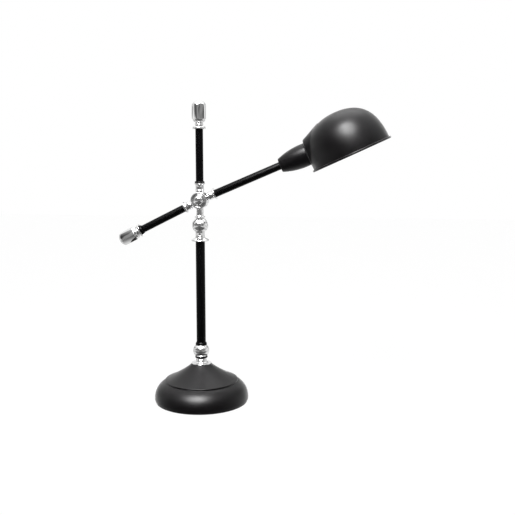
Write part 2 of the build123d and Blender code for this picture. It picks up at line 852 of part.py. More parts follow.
def neck(inset):
    """The neck as a solid from its mouth to its root inside the dome, moved in by inset."""
    root_along, root_above = neck_root()
    bottom = mouth_rise - mouth_radius
    root_radius = (root_above - neck_overlap - bottom) / 2
    root_rise = bottom + root_radius
    mouth = Pos(-mouth_rise, 0, neck_end + inset) * Circle(mouth_radius - inset)
    root = Pos(-root_rise, 0, neck_end + root_along) * Circle(root_radius - inset)
    solid = loft([mouth, root], ruled=True)
    corner = solid.edges().sort_by(Axis.Z)[0]
    return arm_place * fillet(corner, mouth_corner - inset)


def shade_parts():
    """The shade, and the ring that clamps it to the lampholder."""
    outer = rim_place * dome(0, 0) + neck(0)
    inner = rim_place * dome(shade_wall, -rim_bead) + neck(shade_wall)
    bead = rim_place * revolve(
        Plane.XZ * Pos(shade_radius + rim_bead_offset, rim_bead) * Circle(rim_bead), Axis.Z)
    hole = arm_place * rod(barrel_radius + thread_gap, neck_end - 1, neck_end + 2 * shade_wall)
    seat = arm_place * rod(cup_radius + thread_gap, cup_end, neck_end)
    ring_foot = neck_end + shade_wall
    ring_top = ring_foot + shade_ring_height
    bore = barrel_radius + thread_gap
    clamp = turned(
        (bore, ring_foot),
        (shade_ring_radius - shade_ring_chamfer, ring_foot),
        (shade_ring_radius, ring_foot + shade_ring_chamfer),
        (shade_ring_radius, ring_top - shade_ring_chamfer),
        (shade_ring_radius - shade_ring_chamfer, ring_top),
        (bore, ring_top),
    )
    return {
        "shade": outer + bead - inner - hole - seat,
        "shade_ring": arm_place * clamp,
    }


def main():
    """Build every piece and write one file for each."""
    os.makedirs("parts", exist_ok=True)
    pieces = {}
    for build in (base_parts, swivel_parts, lower_post_parts, hub_parts, upper_post_parts, arm_parts, cup_parts,
                  shade_parts):
        pieces.update(build())
    for name, solid in pieces.items():
        export_step(solid, f"parts/{name}.step")
    print(len(pieces), "pieces; hub at", round(hub_height, 2), "top at",
          round(hub_height + upper_end + top_neck_height + finial_height, 2))


main()
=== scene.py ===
"""A counterweight balance desk lamp: the finished surfaces, materials, floor, light and camera.

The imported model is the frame. Each sub-assembly is a class that holds its sizes in millimetres, builds smooth
surfaces in the frame's own places, and gives them their finish.
"""

from __future__ import annotations

import json
import logging
import math
from dataclasses import dataclass
from enum import Enum
from typing import Callable, Optional, Sequence

import bmesh
import bpy
import numpy as np
from mathutils import Matrix, Vector

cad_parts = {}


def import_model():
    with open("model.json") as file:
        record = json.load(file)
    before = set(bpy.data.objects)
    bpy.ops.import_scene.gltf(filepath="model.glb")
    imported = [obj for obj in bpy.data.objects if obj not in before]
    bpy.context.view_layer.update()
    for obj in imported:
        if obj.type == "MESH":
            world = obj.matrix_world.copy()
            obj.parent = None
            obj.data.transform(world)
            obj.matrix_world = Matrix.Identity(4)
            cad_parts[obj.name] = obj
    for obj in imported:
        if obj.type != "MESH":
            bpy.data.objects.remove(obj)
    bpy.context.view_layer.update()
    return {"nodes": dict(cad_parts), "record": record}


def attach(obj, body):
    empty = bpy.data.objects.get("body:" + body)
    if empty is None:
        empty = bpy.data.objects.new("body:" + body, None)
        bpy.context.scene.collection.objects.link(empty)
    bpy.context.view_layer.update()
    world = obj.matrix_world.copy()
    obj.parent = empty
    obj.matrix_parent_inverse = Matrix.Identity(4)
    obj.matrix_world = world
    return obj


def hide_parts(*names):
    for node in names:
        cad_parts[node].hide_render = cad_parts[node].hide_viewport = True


LOG = logging.getLogger("lamp")
MM = 0.001

Pair = tuple[float, float]
Triple = tuple[float, float, float]
Piece = bpy.types.Object
Socket = bpy.types.NodeSocket
Array = np.ndarray

# Lengths in millimetres and angles in degrees: the hub's height over the table, the slope of the arm and of the tail,
# and where the parts of the upper post, the arm and the tail begin and end, from the hub's middle.
HUB_HEIGHT = 354.402
ARM_RISE = 23.15
TAIL_FALL = 26.7
STEM_END = 16.3
TUBE_START = 29.4
ARM_END = 150.6
TAIL_END = 120.4
UPPER_START = 29.3
UPPER_END = 123.9
CUP_FOOT = 150.7
CUP_END = 199.3
NECK_END = 200.6

# Radii of the two kinds of tube and of the bores of their fittings.
LOWER_TUBE = 8.0
SLIM_TUBE = 6.5
LOWER_BORE = 4.05
SLIM_BORE = 4.55


class Body(Enum):
    """The moving bodies of the frame."""

    BASE = "base"
    MAST = "mast"
    ARM = "arm"
    HEAD = "head"


def turn(degrees: float, axis: str) -> Matrix:
    """A rotation by degrees about a main axis."""
    return Matrix.Rotation(math.radians(degrees), 4, axis)


def shift(x: float, y: float, z: float) -> Matrix:
    """A move by millimetres."""
    return Matrix.Translation((x, y, z))


POST = Matrix.Identity(4)
HUB = shift(0.0, 0.0, HUB_HEIGHT)
ARM = HUB @ turn(90.0 - ARM_RISE, "Y")
TAIL = HUB @ turn(-90.0 - TAIL_FALL, "Y")
PIVOT = HUB @ turn(90.0, "X")


# ---- finishes


# The part of 0 to 1 that noise mostly fills.
NOISE_SPAN = (0.3, 0.7)


class Nodes:
    """A node tree, with short ways to add and join nodes."""

    def __init__(self, tree: bpy.types.NodeTree, place: str) -> None:
        """Empties the tree and adds its coordinates.

        Args:
            tree: the node tree of a material or of the world.
            place: the coordinates that its patterns read.
        """
        self.tree = tree
        tree.nodes.clear()
        self.place = self.add("ShaderNodeTexCoord").outputs[place]

    def add(self, kind: str, inputs: Optional[dict] = None) -> bpy.types.Node:
        """Adds a node and returns it.

        Args:
            kind: its type.
            inputs: a value or a socket, by name or number, for each input that doesn't keep its own value.
        """
        node = self.tree.nodes.new(kind)
        self.feed(node, inputs or {})
        return node

    def feed(self, node: bpy.types.Node, inputs: dict) -> None:
        """Sets or joins a node's inputs, each by its name or number."""
        for name, value in inputs.items():
            if isinstance(value, Socket):
                self.tree.links.new(value, node.inputs[name])
            else:
                node.inputs[name].default_value = value

    def noise(self, scale: float, detail: float, stretch: Optional[Triple] = None) -> Socket:
        """Noise on the tree's coordinates.

        Args:
            scale: number of features in a metre.
            detail: octaves of finer noise.
            stretch: scale along each axis before the noise, or None.

        Returns:
            The noise's value, 0 to 1.
        """
        place = self.place
        if stretch is not None:
            place = self.add("ShaderNodeMapping", {"Vector": place, "Scale": stretch}).outputs["Vector"]
        return self.add("ShaderNodeTexNoise", {"Vector": place, "Scale": scale, "Detail": detail}).outputs["Fac"]

    def remap(self, value: Socket, start: float, end: float, low: float = 0.0, high: float = 1.0,
              soft: bool = False) -> Socket:
        """Maps a value from start..end to low..high, straight or with soft ends."""
        node = self.add("ShaderNodeMapRange", {"Value": value, "From Min": start, "From Max": end, "To Min": low,
                                               "To Max": high})
        node.interpolation_type = "SMOOTHSTEP" if soft else "LINEAR"
        return node.outputs["Result"]

    def math(self, operation: str, first: Socket, second: Socket | float) -> Socket:
        """One operation on two values."""
        node = self.add("ShaderNodeMath", {0: first, 1: second})
        node.operation = operation
        return node.outputs[0]

    def product(self, total: Socket, *others: Socket | float) -> Socket:
        """The product of values."""
        for other in others:
            total = self.math("MULTIPLY", total, other)
        return total

    def tint(self, value: Socket, *colours: Sequence[float]) -> Socket:
        """A colour between a dark and a pale one by a noise's value."""
        ramp = self.add("ShaderNodeValToRGB", {"Fac": value})
        for element, spot, colour in zip(ramp.color_ramp.elements, NOISE_SPAN, colours):
            element.position, element.color = spot, (*colour, 1.0)
        return ramp.outputs["Color"]

    def mix(self, share: Socket, first: Socket, second: Socket) -> Socket:
        """The first shader, and the second by a share."""
        return self.add("ShaderNodeMixShader", {0: share, 1: first, 2: second}).outputs[0]


class Skin(Nodes):
    """A material's node tree on the object's own coordinates, with one Principled shader."""

    def __init__(self, name: str) -> None:
        """Starts a material.

        Args:
            name: the material's name.
        """
        self.material = bpy.data.materials.new(name)
        self.material.use_nodes = True
        super().__init__(self.material.node_tree, "Object")
        self.shader = self.add("ShaderNodeBsdfPrincipled")
        self.output = self.add("ShaderNodeOutputMaterial", {"Surface": self.shader.outputs["BSDF"]})


@dataclass(frozen=True)
class Coat:
    """A finish: a mottled colour, an uneven gloss and a fine relief, each from its own noise.

    Attributes:
        colour, roughness: the middle colour, and the lowest and highest roughness.
        grain, relief: features of the relief in a metre and its depth in metres, or 0 for none.
        specular, sheen: strengths of the mirror light and of the pale light at the edges.
        mottle: of each kind, the share by which the colour changes, and that noise's scale, or 0 for the
            grain's, and its octaves.
        haze: of each kind, scale and octaves of the change of gloss.
        bite, stretch: of each kind, strength and octaves of the relief, and its scale along each axis.
        uniform: of each kind, other values of the shader.
    """

    name: str
    colour: Triple
    roughness: Pair
    grain: float = 0.0
    relief: float = 0.0
    specular: float = 0.5
    sheen: float = 0.0

    mottle = (0.12, 35.0, 4.0)
    haze = (60.0, 5.0)
    bite = (0.35, 2.0)
    stretch = None
    uniform = {}

    def build(self) -> bpy.types.Material:
        """Builds the finish and returns its material."""
        nodes = Skin(self.name)
        share, coarse, octaves = self.mottle
        shades = ([min(1.0, level * (1 + sign * share)) for level in self.colour] for sign in (-1, 1))
        nodes.feed(nodes.shader, {
            "Base Color": nodes.tint(nodes.noise(coarse or self.grain, octaves), *shades),
            "Roughness": nodes.remap(nodes.noise(*self.haze), *NOISE_SPAN, *self.roughness),
            "Specular IOR Level": self.specular, "Sheen Weight": self.sheen, **self.uniform})
        if self.relief:
            strength, octaves = self.bite
            bump = nodes.add("ShaderNodeBump", {"Height": nodes.noise(self.grain, octaves, self.stretch),
                                                "Strength": strength, "Distance": self.relief})
            nodes.feed(nodes.shader, {"Normal": bump.outputs["Normal"]})
        return nodes.material


class Paint(Coat):
    """Stoved paint: an even colour under a fine grain, with a little change of gloss."""

    uniform = {"Sheen Roughness": 0.3}


class Plate(Coat):
    """Polished or plain metal: a metal colour, faint haze from handling and fine polishing lines."""

    mottle, haze, bite = (0.04, 80.0, 4.0), (120.0, 5.0), (0.2, 2.0)
    stretch = (1.0, 1.0, 6.0)
    uniform = {"Metallic": 1.0}


class Moulding(Coat):
    """Moulded plastic, rubber or felt: a dull colour with a visible grain."""

    mottle, haze, bite = (0.25, 0.0, 3.0), (150.0, 3.0), (0.5, 4.0)


class OpalGlass(Coat):
    """White glass that lets a little light through."""

    mottle, haze = (0.03, 25.0, 2.0), (90.0, 2.0)
    uniform = {"Transmission Weight": 0.15, "Coat Weight": 0.4}


class Finish(Enum):
    """The lamp's finishes, each with the record's slot that it stands for."""

    SATIN_BLACK = ("satin_black", Paint("satin_black_paint", (0.0022, 0.0018, 0.0022), (0.33, 0.39), 2600.0, 0.00002,
                                        0.2, 0.5))
    GLOSS_BLACK = ("gloss_black", Paint("gloss_black_paint", (0.0012, 0.0011, 0.0014), (0.30, 0.36), 1500.0, 0.00001,
                                        0.08))
    CHROME = ("chrome", Plate("chrome_plate", (0.76, 0.76, 0.76), (0.03, 0.07), 900.0, 0.000004))
    PLASTIC = ("black_plastic", Moulding("black_moulding", (0.008, 0.008, 0.009), (0.55, 0.65), 1800.0, 0.00003, 0.08))
    RUBBER = ("black_rubber", Moulding("black_rubber_skin", (0.012, 0.012, 0.012), (0.6, 0.75), 1400.0, 0.00004, 0.25))
    FELT = ("black_felt", Moulding("black_felt_nap", (0.010, 0.010, 0.011), (0.9, 1.0), 2400.0, 0.0003, 0.25, 0.25))
    IRON = ("cast_iron", Plate("cast_iron_skin", (0.22, 0.21, 0.20), (0.55, 0.75), 400.0, 0.0002))
    STEEL = ("plain_steel", Plate("turned_steel", (0.58, 0.58, 0.57), (0.22, 0.34), 1200.0, 0.00001))
    BRASS = ("brass", Plate("turned_brass", (0.80, 0.61, 0.30), (0.18, 0.30), 1200.0, 0.00001))
    CAP = ("bulb_cap_metal", Plate("bulb_cap_sheet", (0.82, 0.82, 0.82), (0.16, 0.26), 1200.0, 0.00001))
    GLASS = ("bulb_glass", OpalGlass("opal_bulb_glass", (0.92, 0.92, 0.90), (0.18, 0.26)))

    @property
    def slot(self) -> str:
        """The record's slot."""
        return self.value[0]

    def material(self) -> bpy.types.Material:
        """The finish's material, built once."""
        return bpy.data.materials.get(self.value[1].name) or self.value[1].build()


# ---- surfaces

# Points nearer than SAME millimetres are one. Corners that turn more than SHARP radians are rounded, as if they turned
# by no more than STEEPEST. Edges that bend more than HARD degrees are shaded hard.
SAME = 1e-6
SHARP = 0.3
STEEPEST = 2.6
HARD = 40.0


class Section:
    """A drawn section in millimetres: (radius, height) points joined by lines, arcs and curves."""

    def __init__(self, radius: float, height: float) -> None:
        """Puts the pen down at a point."""
        self.points: list[Array] = [np.array([[radius, height]], float)]

    @property
    def pen(self) -> Array:
        """The last point."""
        return self.points[-1][-1]

    def line(self, *ends: Pair) -> "Section":
        """Straight lines to each of the ends in turn."""
        self.points.append(np.array(ends, float))
        return self

    def arc(self, via: Pair, end: Pair, steps: int) -> "Section":
        """A circular arc through via to end: points at even angles round the circle through the three points."""
        a, b, c = self.pen, np.array(via, float), np.array(end, float)
        m = np.array([b - a, c - a]) * 2
        middle = np.linalg.solve(m, np.array([b @ b - a @ a, c @ c - a @ a]))
        first = math.atan2(*(a - middle)[::-1])
        swing = [(math.atan2(*(p - middle)[::-1]) - first) % math.tau for p in (b, c)]
        sweep = swing[1] if swing[0] < swing[1] else swing[1] - math.tau
        angles = first + sweep * np.linspace(0.0, 1.0, steps + 1)[1:]
        radius = np.linalg.norm(a - middle)
        self.points.append(middle + radius * np.stack([np.cos(angles), np.sin(angles)], 1))
        return self

    def curve(self, first: Pair, second: Pair, end: Pair, steps: int) -> "Section":
        """A cubic curve to end, pulled by two points: the usual sum of cubes of t and 1 - t."""
        t = np.linspace(0.0, 1.0, steps + 1)[1:, None]
        q = 1 - t
        a, b, c, d = self.pen, np.array(first), np.array(second), np.array(end)
        self.points.append(q ** 3 * a + 3 * q * q * t * b + 3 * q * t * t * c + t ** 3 * d)
        return self

    def drawn(self, closed: bool, corner: float) -> Array:
        """The section's points, with each sharp corner worn to a small round.

        A corner of turn a gives way to a curve of two tangents that meet it at corner * tan(a / 2), or at 0.4 of the
        shorter side if that is less.

        Args:
            closed: whether the section closes on itself.
            corner: radius of the round in millimetres.

        Returns:
            Points as an array of (radius, height).
        """
        points = np.concatenate(self.points)
        points = points[np.concatenate([[True], np.linalg.norm(np.diff(points, axis=0), axis=1) > SAME])]
        if closed and np.linalg.norm(points[0] - points[-1]) < SAME:
            points = points[:-1]
        before, after = np.roll(points, 1, 0), np.roll(points, -1, 0)
        lead, tail = points - before, after - points
        long_in, long_out = np.linalg.norm(lead, axis=1), np.linalg.norm(tail, axis=1)
        lead, tail = lead / long_in[:, None], tail / long_out[:, None]
        bend = np.arccos(np.clip((lead * tail).sum(1), -1, 1))
        reach = np.minimum(corner * np.tan(np.minimum(bend, STEEPEST) / 2), 0.4 * np.minimum(long_in, long_out))
        sharp = bend > SHARP
        if not closed:
            sharp[[0, -1]] = False
        t = np.linspace(0.0, 1.0, 5)[None, :, None]
        start, end = (points - lead * reach[:, None])[:, None], (points + tail * reach[:, None])[:, None]
        rounds = (1 - t) ** 2 * start + 2 * t * (1 - t) * points[:, None] + t * t * end
        return np.concatenate([rounds[i] if sharp[i] else points[i:i + 1] for i in range(len(points))])


def surface(name: str, grid: Array, around: bool, closed: bool, place: Matrix) -> Piece:
    """A mesh whose vertices are a grid of points and whose faces join neighbours in the grid.

    Args:
        name: the object's name.
        grid: points in millimetres, shape (rows, columns, 3).
        around: whether the last column joins the first.
        closed: whether the last row joins the first.
        place: the grid's place in the frame, in millimetres.

    Returns:
        The object, at the origin, with its place in its mesh.
    """
    rows, columns = grid.shape[:2]
    turned = np.array(place)[:3, :3]
    points = (grid.reshape(-1, 3) @ turned.T + np.array(place)[:3, 3]) * MM
    index = np.arange(rows * columns).reshape(rows, columns)
    if around:
        index = np.concatenate([index, index[:, :1]], 1)
    if closed:
        index = np.concatenate([index, index[:1]], 0)
    quads = np.stack([index[:-1, :-1], index[:-1, 1:], index[1:, 1:], index[1:, :-1]], -1).reshape(-1, 4)
    mesh = bpy.data.meshes.new(name)
    mesh.vertices.add(len(points))
    mesh.vertices.foreach_set("co", points.astype(np.float32).ravel())
    mesh.loops.add(quads.size)
    mesh.loops.foreach_set("vertex_index", quads.astype(np.int32).ravel())
    mesh.polygons.add(len(quads))
    mesh.polygons.foreach_set("loop_start", np.arange(0, quads.size, 4, dtype=np.int32))
    mesh.update(calc_edges=True)
    mesh.validate()
    mesh.shade_smooth()
    mesh.set_sharp_from_angle(angle=math.radians(HARD))
    obj = bpy.data.objects.new(name, mesh)
    bpy.context.scene.collection.objects.link(obj)
    return obj


def band(inner: float, outer: float, low: float, high: float) -> Section:
    """A plain ring's section."""
    return Section(inner, low).line((outer, low), (outer, high), (inner, high))


def lathe(name: str, path: Section, place: Matrix, columns: int = 96, corner: float = 0.3, closed: bool = True,
          form: Optional[Callable[..., Array]] = None) -> Piece:
    """A section carried round Z: (r cos a, r sin a, z) for each point (r, z) and each even angle a.

    Args:
        name: the object's name.
        path: the section to carry round.
        place: the piece's place in the frame.
        columns: number of angles.
        corner: radius of the round on sharp corners.
        closed: whether the section closes on itself.
        form: a function of radius, height and angle that gives the radius instead, or None.

    Returns:
        The object.
    """
    points = path.drawn(closed, corner)
    angle = np.linspace(0.0, math.tau, columns, endpoint=False)[None, :]
    radius, height = points[:, :1] + 0 * angle, points[:, 1:] + 0 * angle
    if form is not None:
        radius = form(radius, height, angle + 0 * radius)
    grid = np.stack([radius * np.cos(angle), radius * np.sin(angle), height], -1)
    return surface(name, grid, True, closed, place)


class Assembly:
    """A sub-assembly of finished pieces."""

    def put(self, body: Body, finish: Finish, *extras: Piece, **pieces: Piece) -> None:
        """Gives pieces their finish and their body, hides the solids that they stand for, and logs each finish's slot.

        Args:
            body: the body that they ride on.
            finish: their finish.
            extras: pieces that stand for no solid of their own.
            pieces: the others, each under the name of its solid.
        """
        for node, piece in [*((None, piece) for piece in extras), *pieces.items()]:
            piece.data.materials.clear()
            piece.data.materials.append(finish.material())
            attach(piece, body.value)
            if node:
                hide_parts(node)
            LOG.info("%s on %s in %s", piece.name, body.value, finish.slot)


# ---- sub-assemblies


@dataclass
class Base(Assembly):
    """The weighted base: pad, spun shell in two tiers, gasket, flange and the dark swivel washer."""

    bore: float = 5.05
    pad_thickness: float = 2.4
    wall: float = 1.4
    radius: float = 82.6
    waist: float = 7.0
    tuck: float = 1.1
    bulge: float = 32.0
    tier: float = 63.8
    ledge: float = 36.15
    step: float = 2.9
    groove: float = 0.8
    crown: float = 17.5
    top: float = 66.55
    flange_foot: float = 67.35
    cord_height: float = 9.5
    cord_radius: float = 4.0
    washer_foot: float = 77.75
    washer_top: float = 81.15

    def shell(self) -> Piece:
        """The spun shell: flat crown, hollow slope, grooved step and round lower tier, with its inside parallel."""
        middle = self.radius - self.bulge
        shoulder = self.bulge * math.sqrt(0.5)
        tier_top = self.ledge + self.step
        bottom = self.groove * 0.55
        inner, bulge = self.radius - self.wall, self.bulge - self.wall
        path = Section(self.bore, self.top).line((self.crown, self.top))
        path.curve((25.05, 59.25), (45.8, 46.06), (self.tier - 1.0, tier_top), 72)
        path.arc((self.tier - 0.29, tier_top - 0.29), (self.tier, tier_top - 1.0), 8)
        path.line((self.tier, self.ledge + self.groove))
        path.arc((self.tier - bottom, self.ledge), (self.tier + 0.55, self.ledge - 0.35), 10)
        path.arc((middle + shoulder, self.waist + shoulder), (self.radius, self.waist), 72)
        path.arc((self.radius - self.tuck / 4, self.waist - 2.3), (self.radius - self.tuck, self.pad_thickness), 10)
        path.line((inner - self.tuck, self.pad_thickness), (inner, self.waist))
        shoulder = bulge * math.sqrt(0.5)
        path.arc((middle + shoulder, self.waist + shoulder), (self.tier - self.wall, self.ledge - 0.9), 48)
        path.line((self.tier - 1.5, tier_top - 1.3))
        path.curve((45.3, 44.8), (24.4, 57.9), (self.crown - 0.57, self.top - self.wall), 48)
        path.line((self.bore, self.top - self.wall))
        shell = lathe("base_shell_skin", path, POST, 224)
        self.open_cord_hole(shell)
        return shell

    def open_cord_hole(self, shell: Piece) -> None:
        """Opens the back of the shell under the grommet's lip: faces nearer to the bore's axis than its radius go.

        Args:
            shell: the shell.
        """
        mesh = bmesh.new()
        mesh.from_mesh(shell.data)
        axis = Vector((0.0, 0.0, self.cord_height * MM))
        centres = {face: face.calc_center_median() for face in mesh.faces}
        gone = [face for face, centre in centres.items() if centre.y > self.radius * MM / 2
                and (centre - axis).xz.length < self.cord_radius * MM]
        bmesh.ops.delete(mesh, geom=gone, context="FACES")
        mesh.to_mesh(shell.data)
        mesh.free()

    def pad(self) -> Piece:
        """The felt pad with softly rounded edges."""
        path = band(0.0, self.radius - self.tuck - 0.8, 0.0, self.pad_thickness)
        return lathe("base_pad_felt", path, POST, 192, 0.8, False)

    def gasket(self) -> Piece:
        """The dark washer under the flange, its edge a half round. Its dark edge is partly painted shade: it also
        stands for the shadow line under the flange.
        """
        path = Section(self.bore, self.top).line((self.crown - 0.4, self.top))
        path.arc((self.crown, self.top + 0.4), (self.crown - 0.4, self.flange_foot), 8)
        path.line((self.bore, self.flange_foot))
        return lathe("base_gasket_ring", path, POST, 128, 0.25)

    def flange(self) -> Piece:
        """The turned flange: a thin edge, a cove up to a waist, and a bead under the washer."""
        foot, top = self.flange_foot, self.washer_foot
        path = Section(self.bore, foot).line((17.25, foot), (17.25, foot + 1.3))
        path.curve((12.3, foot + 1.3), (9.1, foot + 1.3), (8.7, top - 6.24), 24)
        path.arc((9.65, top - 4.16), (8.7, top - 2.08), 14)
        path.line((8.7, top), (self.bore, top))
        return lathe("base_flange_turned", path, POST, 128, 0.35)

    def washer(self) -> Piece:
        """The dark washer that the mast turns on."""
        path = band(self.bore, 10.75, self.washer_foot, self.washer_top)
        return lathe("swivel_washer_turned", path, POST, corner=0.5)

    def build(self) -> None:
        """Builds and dresses the base."""
        self.put(Body.BASE, Finish.SATIN_BLACK, base_shell=self.shell())
        self.put(Body.BASE, Finish.FELT, base_pad=self.pad())
        self.put(Body.BASE, Finish.RUBBER, base_gasket=self.gasket())
        self.put(Body.BASE, Finish.CHROME, base_flange=self.flange())
        self.put(Body.BASE, Finish.PLASTIC, swivel_washer=self.washer())


def end_ring(name: str, foot: float, tube: float, out: float, height: float, place: Matrix) -> Piece:
    """A ring on a tube's end: a soft bulge on its wider side that leans in to the tube.

    Args:
        name: the object's name.
        foot: height of its wider side; the ring rises from there, or sinks if height is negative.
        tube: the tube's radius.
        out: how far the ring stands out.
        height: its height, with its sign.
        place: its place.

    Returns:
        The object.
    """
    path = Section(tube, foot).line((tube + out * 0.67, foot))
    path.arc((tube + out, foot + height * 0.4), (tube + out * 0.67, foot + height * 0.8), 12)
    path.line((tube + out * 0.28, foot + height), (tube, foot + height))
    return lathe(name, path, place)


def tube(name: str, radius: float, low: float, high: float, place: Matrix) -> Piece:
    """A drawn tube 1 mm thick with plain ends."""
    return lathe(name, band(radius - 1.0, radius, low, high), place, corner=0.15)


@dataclass
class LowerPost(Assembly):
    """The ball on the swivel, the lower tube, and the turned fittings up to the hub."""

    ball_foot: float = 81.25
    ball_middle: float = 90.45
    ball_top: float = 100.26
    tube_top: float = 284.26
    cap_top: float = 301.06
    upper_middle: float = 311.11
    upper_top: float = 323.50

    def base_ball(self) -> Piece:
        """The ball that turns on the base, cut flat below and above."""
        path = Section(5.06, self.ball_foot).line((10.75, self.ball_foot))
        path.arc((14.15, self.ball_middle), (10.2, self.ball_top), 48)
        path.line((7.0, self.ball_top))
        return lathe("base_ball_turned", path, POST, 144, 0.25)

    def cap(self) -> Piece:
        """The cap on the lower tube: thin flange, shallow cone, and a collar with a ring groove."""
        foot, rim = self.tube_top, self.tube_top + 2.2
        collar = rim + 3.4
        low = collar + 3.73
        path = Section(LOWER_BORE, foot).line((14.7, foot))
        path.arc((15.3, foot + 1.1), (14.7, rim), 10)
        path.line((8.6, collar), (8.6, collar + 0.5))
        path.curve((8.1, collar + 0.9), (8.1, low - 0.6), (8.1, low), 10)
        path.arc((7.7, low + 0.6), (8.1, low + 1.2), 8)
        path.line((8.1, self.cap_top), (LOWER_BORE, self.cap_top))
        return lathe("post_cap_turned", path, POST, 128)

    def upper_ball(self) -> Piece:
        """The ball on the cap's collar, cut flat below and above."""
        path = Section(LOWER_BORE, self.cap_top).line((9.6, self.cap_top))
        path.arc((13.9, self.upper_middle), (6.3, self.upper_top), 56)
        path.line((LOWER_BORE, self.upper_top))
        return lathe("upper_ball_turned", path, POST, 144, 0.25)

    def ferrule(self) -> Piece:
        """The ferrule under the hub: a short neck, a flared edge, a cove, and a plain stem."""
        neck = self.upper_top + 1.4
        edge = neck + 1.4
        end = HUB_HEIGHT - STEM_END
        path = Section(LOWER_BORE, self.upper_top).line((6.3, self.upper_top), (6.3, neck), (9.15, neck), (9.15, edge))
        path.curve((7.1, edge + 0.4), (6.1, edge + 1.6), (6.1, edge + 4.4), 16)
        path.line((6.1, end), (LOWER_BORE, end))
        return lathe("lower_ferrule_turned", path, POST)

    def build(self) -> None:
        """Builds and dresses the lower post."""
        self.put(Body.MAST, Finish.CHROME, base_ball=self.base_ball())
        self.put(Body.MAST, Finish.GLOSS_BLACK,
                 lower_end_ring=end_ring("lower_end_ring_soft", self.ball_top, LOWER_TUBE, 1.85, 5.2, POST),
                 lower_tube=tube("lower_tube_drawn", LOWER_TUBE, self.ball_top, self.tube_top, POST))
        self.put(Body.MAST, Finish.CHROME, post_cap=self.cap(), upper_ball=self.upper_ball(),
                 lower_ferrule=self.ferrule())


@dataclass
class Hub(Assembly):
    """Two drums face to face on a bolt, each with two stems, under a domed nut."""

    radius: float = 14.3
    back: float = 0.4
    front: float = 11.0
    dish: float = 11.6
    dish_floor: float = 9.2
    gap: float = 0.8
    root: float = 11.9
    edge: float = 0.2

    def drum(self, name: str, bore: float, dished: bool, place: Matrix) -> Piece:
        """One drum: rounded edge, and a dished face if it is the front one.

        Args:
            name: the object's name.
            bore: radius of the bolt's hole.
            dished: whether its face is dished.
            place: its place.

        Returns:
            The object.
        """
        path = Section(bore, self.back).line((self.radius, self.back), (self.radius, self.front - 1.2))
        path.arc((self.radius - 0.35, self.front - 0.35), (self.radius - 1.2, self.front), 8)
        if dished:
            path.line((self.dish, self.front))
            path.curve((self.dish - 0.2, self.dish_floor + 0.6), (self.dish - 0.6, self.dish_floor),
                       (self.dish - 1.4, self.dish_floor), 8)
            path.line((bore, self.dish_floor))
        else:
            path.line((bore, self.front))
        return lathe(name, path, place, 128, 0.25)

    def stem(self, name: str, radius: float, front: bool, place: Matrix) -> Piece:
        """A stem: a round rod whose foot follows the drums.

        Its foot lies inside its own drum on that drum's side, and on the other side at the height
        sqrt(R * R - x * x) of the cylinder R that clears the other drum, x being the distance from the middle.

        Args:
            name: the object's name.
            radius: the stem's radius.
            front: whether its drum is the front one.
            place: its place, with its own Z along the stem.

        Returns:
            The object.
        """
        angle = np.linspace(0.0, math.tau, 96, endpoint=False)
        across, depth = radius * np.cos(angle), radius * np.sin(angle)
        clear = np.sqrt((self.radius + self.gap) ** 2 - across ** 2)
        own = depth < -self.back if front else depth > self.back
        foot = np.where(own, self.root, clear)
        rows = np.stack([foot, *(foot * 0 + end for end in (STEM_END - self.edge, STEM_END, STEM_END))])
        out = np.array([1.0, 1.0, 1.0 - self.edge / radius, 0.4])[:, None]
        grid = np.stack([across * out, depth * out, rows], -1)
        return surface(name, grid, True, False, place)

    def nut(self) -> Piece:
        """The domed nut: a thin collar, a step, and a dome."""
        floor = self.dish_floor
        path = Section(3.05, floor).line((9.4, floor), (9.4, floor + 2.0), (8.2, floor + 2.0))
        path.curve((8.2, floor + 6.4), (4.7, floor + 7.4), (0.0, floor + 7.4), 32)
        return lathe("pivot_nut_domed", path, PIVOT, closed=False)

    def build(self) -> None:
        """Builds and dresses the hub."""
        back = PIVOT @ turn(180.0, "X")
        self.put(Body.MAST, Finish.CHROME, post_hub=self.drum("post_hub_drum", 3.05, True, PIVOT))
        self.put(Body.MAST, Finish.CHROME, self.stem("post_hub_stem_up", 7.1, True, HUB),
                 self.stem("post_hub_stem_down", 6.1, True, HUB @ turn(180.0, "Y")))
        self.put(Body.ARM, Finish.CHROME, arm_hub=self.drum("arm_hub_drum", 3.06, False, back))
        self.put(Body.ARM, Finish.CHROME, self.stem("arm_hub_stem_front", 5.5, False, ARM),
                 self.stem("arm_hub_stem_tail", 5.5, False, TAIL))
        self.put(Body.MAST, Finish.CHROME, pivot_nut=self.nut())


